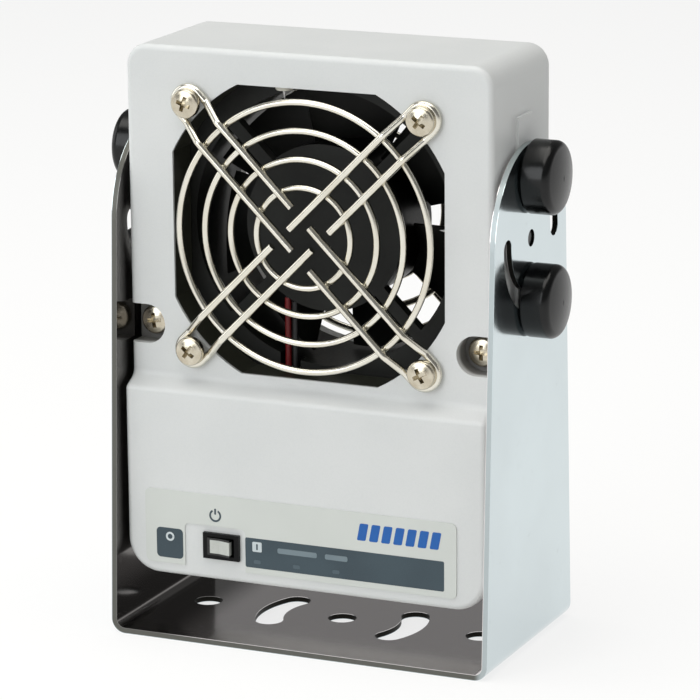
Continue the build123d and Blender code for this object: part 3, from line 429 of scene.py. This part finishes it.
# Which finish goes with each material slot of the record
slotFinish = {
    "shell": mouldedFinish("shell", shellLook),
    "stainless": metalFinish("stainless", stainlessLook),
    "guard_wire": metalFinish("nickelWire", nickelWireLook),
    "nickel_screw": metalFinish("nickelScrew", nickelScrewLook),
    "steel": metalFinish("turnedSteel", steelLook),
    "needle": metalFinish("needleSteel", steelLook),
    "knob": mouldedFinish("knobBlack", knobLook),
    "brass": metalFinish("brass", brassLook),
    "fan_plastic": mouldedFinish("fanPlastic", fanLook),
    "blade_plastic": mouldedFinish("bladePlastic", bladeLook),
    "laminated_core": metalFinish("laminatedCore", coreLook),
    "copper": metalFinish("copper", copperLook),
    "magnet": mouldedFinish("magnet", magnetLook),
    "socket_resin": mouldedFinish("socketResin", resinLook),
    "white_wire": mouldedFinish("whiteWire", whiteWireLook),
    "red_wire": mouldedFinish("redWire", redWireLook),
    "black_wire": mouldedFinish("blackWire", blackWireLook),
    "board": mouldedFinish("board", boardLook),
    "component": mouldedFinish("component", componentLook),
    "capacitor": mouldedFinish("capacitor", capacitorLook),
    "lamp": mouldedFinish("lamp", lampLook),
    "switch_black": mouldedFinish("switchBlack", switchLook),
    "rocker_white": mouldedFinish("rockerWhite", rockerLook),
    "label": mouldedFinish("label", labelLook),
    "module": mouldedFinish("module", moduleLook),
}
for subpart in frame["record"]["subparts"]:
    materials = nodes[subpart["node"]].data.materials
    for index in range(len(materials)):
        materials[index] = slotFinish[subpart["material_slot"]]
print("finishes made:", len(slotFinish))


# Mesh helpers

def linked(name, mesh):
    piece = bpy.data.objects.new(name, mesh)
    bpy.context.scene.collection.objects.link(piece)
    return piece


def fromForm(name, form):
    bmesh.ops.recalc_face_normals(form, faces=form.faces)
    mesh = bpy.data.meshes.new(name)
    form.to_mesh(mesh)
    form.free()
    return linked(name, mesh)


# The evaluated result of an object as a plain mesh with smooth faces and sharp corners kept.
def baked(name, source, sharpAngle=35.0):
    depsgraph = bpy.context.evaluated_depsgraph_get()
    mesh = bpy.data.meshes.new_from_object(source.evaluated_get(depsgraph), depsgraph=depsgraph)
    bpy.data.objects.remove(source)
    mesh.name = name
    mesh.shade_smooth()
    mesh.set_sharp_from_angle(angle=math.radians(sharpAngle))
    return linked(name, mesh)


# Turns an outline of (radius, height) pairs, from the top pole to the bottom one, about Z.
def turned(name, outline, sides):
    form = bmesh.new()
    rings = []
    for radius, height in outline:
        count = sides if radius else 1
        angles = [math.tau * step / count for step in range(count)]
        rings.append([form.verts.new((radius * math.cos(a), radius * math.sin(a), height)) for a in angles])
    for upper, lower in zip(rings, rings[1:]):
        for step in range(sides):
            after = (step + 1) % sides
            corners = (upper[step % len(upper)], lower[step % len(lower)],
                       lower[after % len(lower)], upper[after % len(upper)])
            form.faces.new(list(dict.fromkeys(corners)))
    return fromForm(name, form)


# Closes the gap between two outlines that have as many corners, and caps both.
def joinOutlines(form, first, last):
    form.faces.new(first)
    form.faces.new(last[::-1])
    for step in range(len(first)):
        after = (step + 1) % len(first)
        form.faces.new((first[step], last[step], last[after], first[after]))


def cutAway(body, cutter):
    modifier = body.modifiers.new("cut", "BOOLEAN")
    modifier.operation = "DIFFERENCE"
    modifier.solver = "EXACT"
    modifier.object = cutter
    result = baked(body.name, body)
    bpy.data.objects.remove(cutter)
    return result


# Geometry Nodes: a tree with named inputs, and the piece that one set of values grows from it.

class GrowTree(Net):
    def __init__(self, name, inputs):
        tree = bpy.data.node_groups.new(name, "GeometryNodeTree")
        super().__init__(tree)
        for label, kind in inputs.items():
            tree.interface.new_socket(label, in_out="INPUT", socket_type="NodeSocket" + kind)
        tree.interface.new_socket("Geometry", in_out="OUTPUT", socket_type="NodeSocketGeometry")
        self.start = self.node("NodeGroupInput")

    def joined(self, parts):
        whole = self.node("GeometryNodeJoinGeometry")
        for part in parts:
            self.tree.links.new(part.socket, whole.node.inputs["Geometry"])
        return whole

    def close(self, geometry):
        placed = self.node("GeometryNodeTransform", {}, {
            "Geometry": self.node("GeometryNodeRealizeInstances", {}, {"Geometry": geometry}),
            "Translation": self.start["Place"], "Rotation": self.start["Turn"]})
        coated = self.node("GeometryNodeSetMaterial", {}, {
            "Geometry": placed, "Material": self.start["Finish"]})
        self.node("NodeGroupOutput", {}, {"Geometry": coated})


def grown(name, growTree, values):
    host = linked(name + "Host", bpy.data.meshes.new(name + "Host"))
    modifier = host.modifiers.new("grow", "NODES")
    modifier.node_group = growTree.tree
    for item in growTree.tree.interface.items_tree:
        if item.in_out == "INPUT":
            modifier[item.identifier] = values[item.name]
    return baked(name, host)


# These turn a flat piece's Z to the front or to the rear of the casing.
toFront = (math.pi / 2, 0.0, 0.0)
toRear = (-math.pi / 2, 0.0, 0.0)


# Wire guards: welded rings under four hairpin legs

guardSizes = {
    "Ring Radius": 27.5 * mm, "Ring Step": 5.75 * mm, "Ring Count": 4, "Ring Wire": 0.7 * mm,
    "Leg Wire": 0.8 * mm, "Leg Gap": 6.2 * mm, "Lift": 3.2 * mm, "Kink Start": 28.5 * mm,
    "Kink End": 33.7 * mm, "Kink Round": 1.8 * mm, "Long End": 0.4 * mm, "Short End": 5.8 * mm,
    "Weld Size": 0.62 * mm,
}
guardBuild = {
    "legCount": 4, "wireSides": 14, "ringSides": 112, "bendSteps": 10, "pressedShare": 0.9,
    "weldFineness": 3, "weldFlatness": 0.7,
}


def guardTree():
    build = guardBuild
    inputs = {label: "Int" if label == "Ring Count" else "Float" for label in guardSizes}
    inputs.update({"Screw Orbit": "Float", "Finish": "Material", "Place": "Vector", "Turn": "Vector"})
    net = GrowTree("wireGuard", inputs)
    size = net.start
    index = net.node("GeometryNodeInputIndex")
    half = size["Leg Gap"] * 0.5
    pressed = build["pressedShare"]
    ringLift = size["Lift"] - size["Leg Wire"] * pressed - size["Ring Wire"] * pressed

    def points(count):
        return net.node("GeometryNodeMeshLine", {"mode": "OFFSET"}, {
            "Count": count, "Offset": (0.0, 0.0, 0.0)})

    def wire(curve, radius):
        profile = net.node("GeometryNodeCurvePrimitiveCircle", {}, {
            "Resolution": build["wireSides"], "Radius": radius})
        return net.node("GeometryNodeCurveToMesh", {}, {
            "Curve": curve, "Profile Curve": profile, "Fill Caps": True})

    # One ring per point of the line, each a step smaller than the last
    radius = size["Ring Radius"] - index * size["Ring Step"]
    circle = net.node("GeometryNodeCurvePrimitiveCircle", {}, {
        "Resolution": build["ringSides"], "Radius": 1.0})
    ringSpots = net.node("GeometryNodeInstanceOnPoints", {}, {
        "Points": points(size["Ring Count"]), "Instance": circle, "Scale": net.point(radius, radius, 1.0)})
    ringCurves = net.node("GeometryNodeRealizeInstances", {}, {"Geometry": ringSpots})
    rings = net.node("GeometryNodeTransform", {}, {
        "Geometry": wire(ringCurves, size["Ring Wire"]), "Translation": net.point(0.0, 0.0, ringLift)})

    # The hairpin's corners in order, then its bends: the two loop corners make a half circle
    loopX = size["Screw Orbit"] + half
    low = size["Leg Wire"]
    kink = size["Kink Round"]
    corners = (
        net.point(-size["Long End"], half, size["Lift"]), net.point(size["Kink Start"], half, size["Lift"]),
        net.point(size["Kink End"], half, low), net.point(loopX, half, low),
        net.point(loopX, -half, low), net.point(size["Kink End"], -half, low),
        net.point(size["Kink Start"], -half, size["Lift"]), net.point(size["Short End"], -half, size["Lift"]))
    bends = (0.0, kink, kink, half, half, kink, kink, 0.0)

    def chosen(kind, values):
        settings = {"data_type": kind, "choices": len(values)}
        sockets = {"Index": index}
        sockets.update({place + 1: value for place, value in enumerate(values)})
        return net.node("GeometryNodeIndexSwitch", settings, sockets)

    path = net.node("GeometryNodeSetPosition", {}, {
        "Geometry": points(len(corners)), "Position": chosen("VECTOR", corners)})
    path = net.node("GeometryNodeMeshToCurve", {}, {"Mesh": path})
    path = net.node("GeometryNodeFilletCurve", {"mode": "POLY"}, {
        "Curve": path, "Count": build["bendSteps"], "Radius": chosen("FLOAT", bends), "Limit Radius": True})
    hairpin = wire(path, size["Leg Wire"])

    # A flat weld spot wherever a ring passes under one of the leg's two wires
    spotX = net.maths("SQRT", radius * radius - half * half)
    spotZ = size["Lift"] - size["Leg Wire"]
    bead = net.node("GeometryNodeMeshIcoSphere", {}, {
        "Radius": size["Weld Size"], "Subdivisions": build["weldFineness"]})
    parts = [hairpin]
    for side in (1.0, -1.0):
        spots = net.node("GeometryNodeSetPosition", {}, {
            "Geometry": points(size["Ring Count"]), "Position": net.point(spotX, half * side, spotZ)})
        parts.append(net.node("GeometryNodeInstanceOnPoints", {}, {
            "Points": spots, "Instance": bead, "Scale": (1.0, 1.0, build["weldFlatness"])}))

    legTurn = math.tau / build["legCount"]
    legs = net.node("GeometryNodeInstanceOnPoints", {}, {
        "Points": points(build["legCount"]), "Instance": net.joined(parts),
        "Rotation": net.point(0.0, 0.0, index * legTurn + legTurn / 2)})
    net.close(net.joined((rings, legs)))
    return net


# Screws: a turned pan head with a tapered cross recess, set out on a grid

screwSizes = {
    "headRadius": 3.0 * mm, "headHeight": 1.9 * mm, "crown": 0.5 * mm, "rimRound": 0.55 * mm, "curveSteps": 5,
    "shankRadius": 1.5 * mm, "recessLength": 3.6 * mm, "recessWidth": 0.86 * mm, "recessDepth": 1.5 * mm,
    "recessFlare": 1.2, "recessTaper": 0.42, "recessCore": 0.7, "sides": 48,
}


def slotBit(size, turn):  # one tapered bar of the cross
    form = bmesh.new()
    top = size["headHeight"] + size["recessDepth"] / 2
    floor = size["headHeight"] - size["recessDepth"]
    core = size["recessCore"]
    spin = Matrix.Rotation(turn, 3, "Z")
    rows = []
    for height, share in ((top, size["recessFlare"]), (floor, size["recessTaper"])):
        x = size["recessLength"] / 2 * share
        y = size["recessWidth"] / 2 * (core + (1 - core) * share)
        corners = ((-x, -y), (x, -y), (x, y), (-x, y))
        rows.append([form.verts.new(spin @ Vector((a, b, height))) for a, b in corners])
    joinOutlines(form, *rows)
    return fromForm("slotBit", form)


def panScrew(name, length):
    size = screwSizes
    steps = size["curveSteps"]
    flat = size["headRadius"] - size["rimRound"]
    outline = [(0.0, size["headHeight"])]
    for step in range(1, steps + 1):
        radius = flat * step / steps
        outline.append((radius, size["headHeight"] - size["crown"] * (radius / flat) ** 2))
    rimZ = size["headHeight"] - size["crown"] - size["rimRound"]
    for step in range(1, steps + 1):
        angle = math.pi / 2 * (1 - step / steps)
        outline.append((flat + size["rimRound"] * math.cos(angle), rimZ + size["rimRound"] * math.sin(angle)))
    outline += [(size["headRadius"], 0.0), (size["shankRadius"], 0.0),
                (size["shankRadius"], -length), (0.0, -length)]
    screw = turned(name, outline, size["sides"])
    for turn in (0.0, math.pi / 2):
        screw = cutAway(screw, slotBit(size, turn))
    return screw


def screwTree():
    net = GrowTree("screwGrid", {
        "Screw": "Object", "Columns": "Int", "Rows": "Int", "Pitch X": "Float", "Pitch Y": "Float",
        "Seed": "Int", "Finish": "Material", "Place": "Vector", "Turn": "Vector"})
    size = net.start
    spots = net.node("GeometryNodeMeshGrid", {}, {
        "Size X": size["Pitch X"], "Size Y": size["Pitch Y"],
        "Vertices X": size["Columns"], "Vertices Y": size["Rows"]})
    screw = net.node("GeometryNodeObjectInfo", {}, {"Object": size["Screw"]}, output="Geometry")
    turn = net.node("FunctionNodeRandomValue", {"data_type": "FLOAT"}, {
        2: 0.0, 3: math.tau, "Seed": size["Seed"]}, output=1)
    net.close(net.node("GeometryNodeInstanceOnPoints", {}, {
        "Points": spots, "Instance": screw, "Rotation": net.point(0.0, 0.0, turn)}))
    return net


def centreAt(node, y):
    low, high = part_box(node)
    return Vector(((low.x + high.x) / 2, y, (low.z + high.z) / 2))


def pitchOf(node):  # how far apart a square of screws stands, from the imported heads
    low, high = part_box(node)
    return high.x - low.x - screwSizes["headRadius"] * 2


# Screws all of one length on a grid, in the place of a node of the frame.
def screwSet(name, node, length, values):
    pattern = panScrew("screwPattern", length)
    screws = grown(name, screwGrid, {
        "Screw": pattern, "Columns": 2, "Pitch X": pitchOf(node),
        "Finish": slotFinish["nickel_screw"], **values})
    bpy.data.objects.remove(pattern)
    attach(screws, "head")
    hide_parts(node)


wireGuard = guardTree()
screwGrid = screwTree()
guardJobs = (
    {"end": "front", "faceY": faceY, "outward": -1.0, "turn": toFront, "tipSide": 1, "seed": 3},
    {"end": "rear", "faceY": backY, "outward": 1.0, "turn": toRear, "tipSide": 0, "seed": 8},
)
for job in guardJobs:
    screwNode = job["end"] + "_guard_screws"
    pitch = pitchOf(screwNode)
    guard = grown(job["end"] + "WireGuard", wireGuard, {
        **guardSizes, "Screw Orbit": pitch / math.sqrt(2), "Finish": slotFinish["guard_wire"],
        "Place": (fanCentre.x, job["faceY"], fanCentre.z), "Turn": job["turn"]})
    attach(guard, "head")
    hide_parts(job["end"] + "_guard")

    seat = job["faceY"] + job["outward"] * guardSizes["Leg Wire"] * 2
    length = abs(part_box(screwNode)[job["tipSide"]].y - seat)
    screwSet(job["end"] + "GuardScrews", screwNode, length, {
        "Rows": 2, "Pitch Y": pitch, "Seed": job["seed"],
        "Place": centreAt(screwNode, seat), "Turn": job["turn"]})
print("wire guards and their screws grown")

coverLow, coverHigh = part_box("cover_screws")
coverSeat = coverLow.y + screwSizes["headHeight"]
screwSet("coverScrews", "cover_screws", coverHigh.y - coverSeat, {
    "Rows": 1, "Pitch Y": 0.0, "Seed": 5, "Place": centreAt("cover_screws", coverSeat), "Turn": toFront})
print("cover screws grown")


# Printing on the label, as thin ink: places are measured from the label's lower left corner

labelPrint = {
    "inkThickness": 0.03 * mm, "cornerSteps": 6, "arcSteps": 36,
    "strip": {"left": 22.75 * mm, "low": 1.3 * mm, "width": 44.0 * mm, "height": 6.3 * mm,
              "radius": 0.35 * mm},
    "block": {"left": 2.5 * mm, "low": 1.2 * mm, "width": 6.05 * mm, "height": 6.4 * mm,
              "radius": 0.9 * mm},
    "onMark": {"x": 25.4 * mm, "z": 5.8 * mm, "size": 2.1 * mm, "roundShare": 0.125,
               "barWidthShare": 1 / 6, "barHeightShare": 0.6, "barRoundShare": 1 / 30},
    "offMark": {"x": 5.6 * mm, "z": 5.8 * mm, "radius": 0.756 * mm, "line": 0.42 * mm,
                "start": 0, "end": 356},
    "powerMark": {"x": 16.0 * mm, "z": 11.4 * mm, "radius": 1.15 * mm, "line": 0.4 * mm,
                  "start": 120, "end": 420, "barLow": 0.23 * mm, "barHeight": 1.265 * mm,
                  "barRoundShare": 1 / 3},
    "captions": ({"left": 30.0 * mm, "width": 8.8 * mm}, {"left": 40.6 * mm, "width": 5.0 * mm}),
    "captionLow": 5.0 * mm, "captionHeight": 1.1 * mm, "captionRoundShare": 1 / 3,
    "windows": (25.4 * mm, 34.2 * mm, 43.0 * mm), "windowLow": 2.2 * mm, "windowWidth": 1.5 * mm,
    "windowHeight": 0.75 * mm, "windowRound": 0.25 * mm,
    "bars": {"left": 47.7 * mm, "low": 9.9 * mm, "width": 17.8 * mm, "height": 3.6 * mm, "count": 7,
             "gap": 0.75 * mm, "lean": 0.7 * mm, "roundShare": 1 / 6},
}
inkLook = {
    "drift": 0.6, "speck": 0.3, "grainScale": 5200.0, "grainDepth": 0.003 * mm,
    "roughness": 0.36, "roughnessDrift": 0.08,
}
inks = {
    "slate": {"colour": fromScreen(50, 66, 75), "tint": fromScreen(60, 77, 86), "cloudScale": 90.0},
    "pale": {"colour": fromScreen(206, 214, 217), "tint": fromScreen(190, 200, 204), "cloudScale": 160.0},
    "faint": {"colour": fromScreen(120, 135, 142), "tint": fromScreen(108, 124, 132), "cloudScale": 160.0},
    "dim": {"colour": fromScreen(80, 96, 105), "tint": fromScreen(72, 88, 97), "cloudScale": 160.0},
    "blue": {"colour": fromScreen(6, 84, 164), "tint": fromScreen(16, 96, 174), "cloudScale": 120.0},
}
inkFinish = {ink: mouldedFinish(ink + "Ink", {**inkLook, **inks[ink]}) for ink in inks}
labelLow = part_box("panel_label")[0]


def roundedOutline(left, low, width, height, radius, lean=0.0):
    right, top = left + width - radius, low + height - radius
    centres = ((right, top), (left + radius, top), (left + radius, low + radius), (right, low + radius))
    outline = []
    for quarter, (x, z) in enumerate(centres):
        for step in range(labelPrint["cornerSteps"] + 1):
            angle = math.pi / 2 * (quarter + step / labelPrint["cornerSteps"])
            rise = z + radius * math.sin(angle)
            outline.append((x + radius * math.cos(angle) + lean * (rise - low) / height, rise))
    return outline


def centredOutline(x, z, width, height, radius):
    return roundedOutline(x - width / 2, z - height / 2, width, height, radius)


def ringSector(mark):
    steps = labelPrint["arcSteps"]
    angles = [math.radians(mark["start"] + (mark["end"] - mark["start"]) * step / steps)
              for step in range(steps + 1)]

    def arc(radius, turns):
        return [(mark["x"] + radius * math.cos(a), mark["z"] + radius * math.sin(a)) for a in turns]

    half = mark["line"] / 2
    return arc(mark["radius"] + half, angles) + arc(mark["radius"] - half, angles[::-1])


# Lays flat outlines on the label as ink; "layer" lifts ink that is printed over other ink.
def inkPiece(name, ink, outlines, layer=1):
    form = bmesh.new()
    front = labelLow.y - labelPrint["inkThickness"] * layer
    for outline in outlines:
        ends = []
        for y in (front, front + labelPrint["inkThickness"]):
            ends.append([form.verts.new((labelLow.x + x, y, labelLow.z + z)) for x, z in outline])
        joinOutlines(form, *ends)
    piece = fromForm(name, form)
    piece.data.materials.append(inkFinish[ink])
    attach(piece, "head")


inkPiece("slateStrip", "slate", [
    roundedOutline(**labelPrint["strip"]), roundedOutline(**labelPrint["block"])])

onMark = labelPrint["onMark"]
onSize = onMark["size"]
inkPiece("paleMarks", "pale", [centredOutline(
    onMark["x"], onMark["z"], onSize, onSize, onSize * onMark["roundShare"])], layer=2)
inkPiece("onBar", "slate", [centredOutline(
    onMark["x"], onMark["z"], onSize * onMark["barWidthShare"], onSize * onMark["barHeightShare"],
    onSize * onMark["barRoundShare"])], layer=3)
inkPiece("offRing", "pale", [ringSector(labelPrint["offMark"])], layer=2)

captionHeight = labelPrint["captionHeight"]
inkPiece("captionStrips", "faint", [roundedOutline(
    caption["left"], labelPrint["captionLow"], caption["width"], captionHeight,
    captionHeight * labelPrint["captionRoundShare"]) for caption in labelPrint["captions"]], layer=2)
windowMiddle = labelPrint["windowLow"] + labelPrint["windowHeight"] / 2
inkPiece("lampWindows", "dim", [centredOutline(
    x, windowMiddle, labelPrint["windowWidth"], labelPrint["windowHeight"], labelPrint["windowRound"])
    for x in labelPrint["windows"]], layer=2)

power = labelPrint["powerMark"]
inkPiece("powerMark", "slate", [ringSector(power), roundedOutline(
    power["x"] - power["line"] / 2, power["z"] + power["barLow"], power["line"], power["barHeight"],
    power["line"] * power["barRoundShare"])])

bars = labelPrint["bars"]
barWidth = (bars["width"] - bars["gap"] * (bars["count"] - 1)) / bars["count"]
inkPiece("blueBars", "blue", [roundedOutline(
    bars["left"] + number * (barWidth + bars["gap"]), bars["low"], barWidth, bars["height"],
    barWidth * bars["roundShare"], bars["lean"]) for number in range(bars["count"])])
print("label printed")


# Floor, light and camera

studio = {
    "floorSize": 30.0, "floorColour": fromScreen(232, 232, 230), "floorGlow": 1.06, "floorGlowShare": 0.72,
    "ambient": 0.46, "horizonGloss": 1.0, "skyGloss": 0.22, "skyStart": 0.03, "skyEnd": 0.2,
}
lamps = (
    {"name": "topBox", "at": (-0.05, -0.10, 0.95), "size": 0.9, "power": 6.6, "colour": (1.0, 0.985, 0.94)},
    {"name": "frontBox", "at": (-0.45, -1.15, 0.55), "size": 0.8, "power": 5.6, "colour": (0.95, 0.98, 1.0)},
    {"name": "leftBox", "at": (-0.95, -0.25, 0.45), "size": 0.6, "power": 1.6, "colour": (0.98, 0.99, 1.0)},
)
shot = {
    "at": (0.3200, -0.7117, 0.2569), "target": (0.00247, -0.0005, 0.05927), "lens": 201.8, "roll": -0.47,
    "nearest": 0.01, "farthest": 100.0,
}


def makeFloor():
    form = bmesh.new()
    half = studio["floorSize"] / 2
    corners = ((-half, -half), (half, -half), (half, half), (-half, half))
    form.faces.new([form.verts.new((x, y, 0.0)) for x, y in corners])
    mesh = bpy.data.meshes.new("floor")
    form.to_mesh(mesh)
    form.free()
    net = Finish("floorPale")
    path = net.node("ShaderNodeLightPath")
    seen = net.maths("MAXIMUM", path["Is Camera Ray"], path["Is Glossy Ray"])
    seen = net.maths("MAXIMUM", seen, path["Is Transmission Ray"])
    matt = net.node("ShaderNodeBsdfDiffuse", {}, {"Color": studio["floorColour"]})
    glow = net.node("ShaderNodeEmission", {}, {"Strength": studio["floorGlow"]})
    both = net.node("ShaderNodeMixShader", {}, {0: seen * studio["floorGlowShare"], 1: matt, 2: glow})
    net.node("ShaderNodeOutputMaterial", {}, {"Surface": both})
    mesh.materials.append(net.material)
    floor = linked("floor", mesh)


# The camera sees a white world, gloss sees one that darkens upwards, and the rest is a soft fill.
def makeWorld():
    world = bpy.data.worlds.new("studio")
    bpy.context.scene.world = world
    world.use_nodes = True
    net = Net(world.node_tree)
    path = net.node("ShaderNodeLightPath")
    direct = net.maths("MAXIMUM", path["Is Camera Ray"], path["Is Transmission Ray"])
    height = net.apart(net.node("ShaderNodeTexCoord")["Generated"])["Z"]
    climb = net.ease(height, studio["skyStart"], studio["skyEnd"])
    gloss = studio["horizonGloss"] + climb * (studio["skyGloss"] - studio["horizonGloss"])
    glossy = path["Is Glossy Ray"]
    unseen = glossy * gloss + (1.0 - glossy) * studio["ambient"]
    strength = direct + (1.0 - direct) * unseen
    shade = net.node("ShaderNodeBackground", {}, {"Strength": strength})
    net.node("ShaderNodeOutputWorld", {}, {"Surface": shade})


def aimed(at, target):
    return (Vector(target) - Vector(at)).to_track_quat("-Z", "Y")


def makeLamps():
    target = (cadLow + cadHigh) / 2
    for lamp in lamps:
        light = bpy.data.lights.new(lamp["name"], "AREA")
        light.size = lamp["size"]
        light.energy = lamp["power"]
        light.color = lamp["colour"]
        holder = linked(lamp["name"], light)
        holder.location = lamp["at"]
        holder.rotation_mode = "QUATERNION"
        holder.rotation_quaternion = aimed(lamp["at"], target)


def makeCamera():
    lens = bpy.data.cameras.new("camera")
    lens.lens = shot["lens"]
    lens.clip_start = shot["nearest"]
    lens.clip_end = shot["farthest"]
    camera = linked("camera", lens)
    camera.location = shot["at"]
    camera.rotation_mode = "QUATERNION"
    roll = Matrix.Rotation(math.radians(shot["roll"]), 3, "Z").to_quaternion()
    camera.rotation_quaternion = aimed(shot["at"], shot["target"]) @ roll
    bpy.context.scene.camera = camera


makeFloor()
makeWorld()
makeLamps()
makeCamera()
bpy.context.scene.view_settings.view_transform = "Standard"
print("studio ready")
